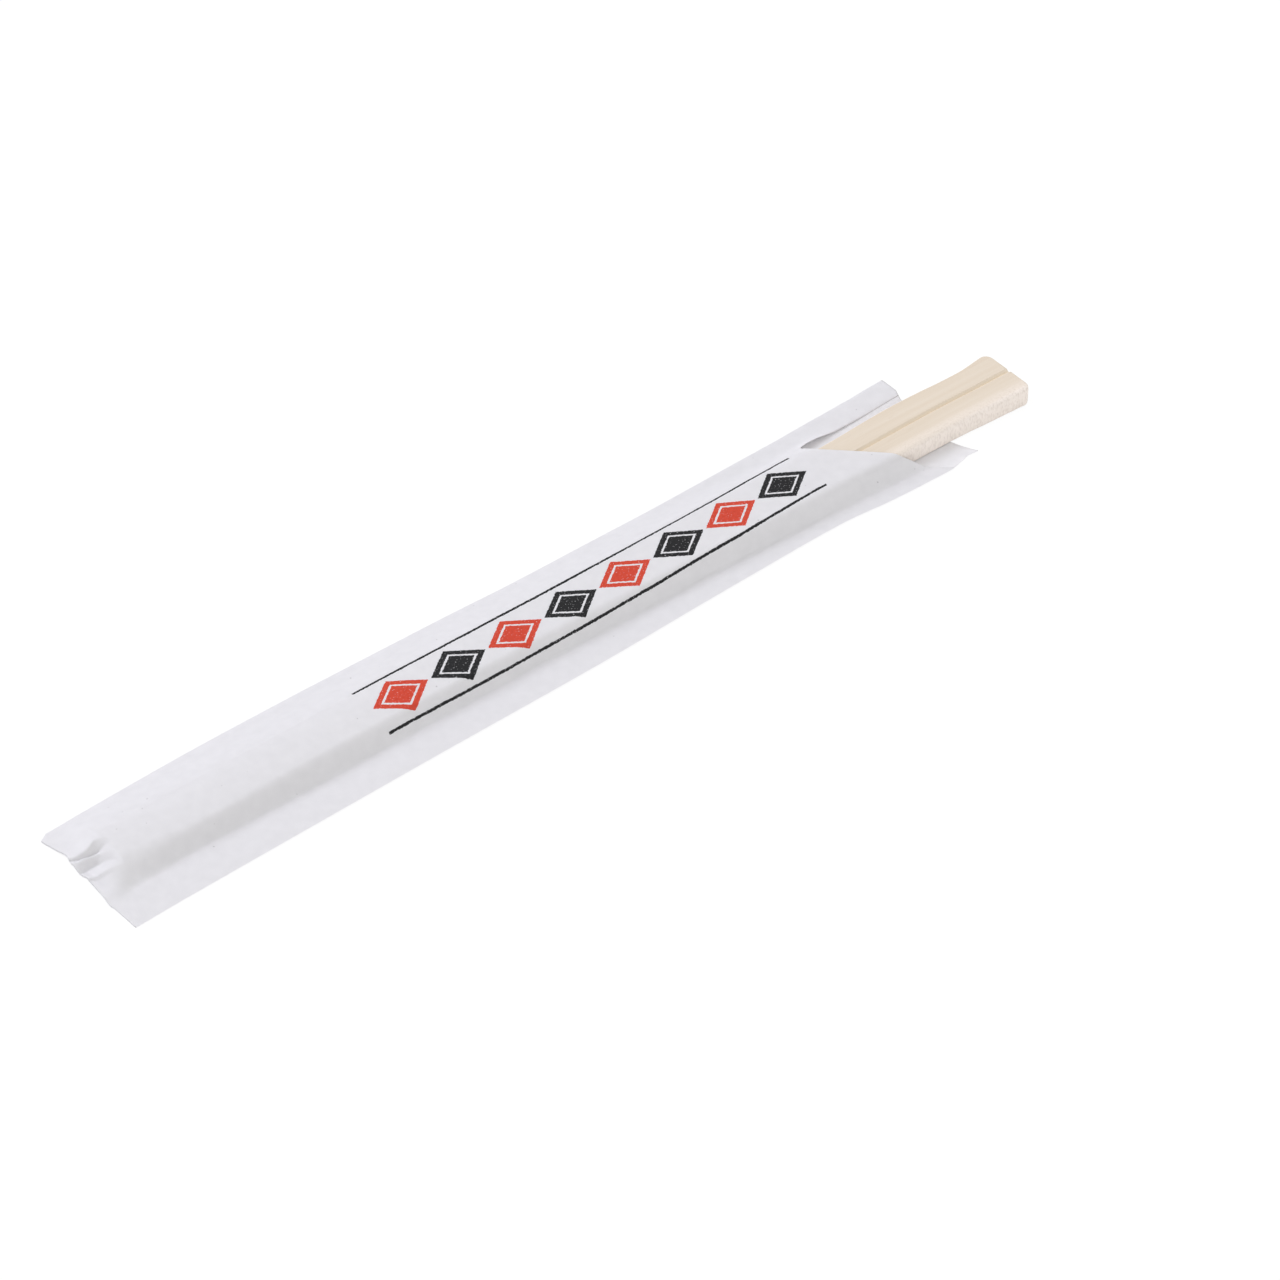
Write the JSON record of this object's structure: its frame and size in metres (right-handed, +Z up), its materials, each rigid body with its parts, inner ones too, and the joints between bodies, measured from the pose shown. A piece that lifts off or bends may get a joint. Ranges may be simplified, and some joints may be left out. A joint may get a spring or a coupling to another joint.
{
  "type": "wrapped wooden chopsticks",
  "caption": "Unsplit tapered wooden chopsticks lying in a flat half-open paper sleeve with a slanted notch at its mouth and a pressed, pleated closed end.",
  "frame": {"origin": "centre of the bounding box, at the underside of the sleeve's back panel", "axes": "+X along the sleeve from its closed end towards the butts of the sticks, +Y to the left, +Z up"},
  "size_m": [0.2166, 0.0294, 0.0045],
  "materials": {
    "sleeve_paper": "matte",
    "pale_wood": "matte"
  },
  "bodies": {
    "root": {"paper_sleeve": "sleeve_paper", "chopsticks": "pale_wood"}
  },
  "joints": []
}
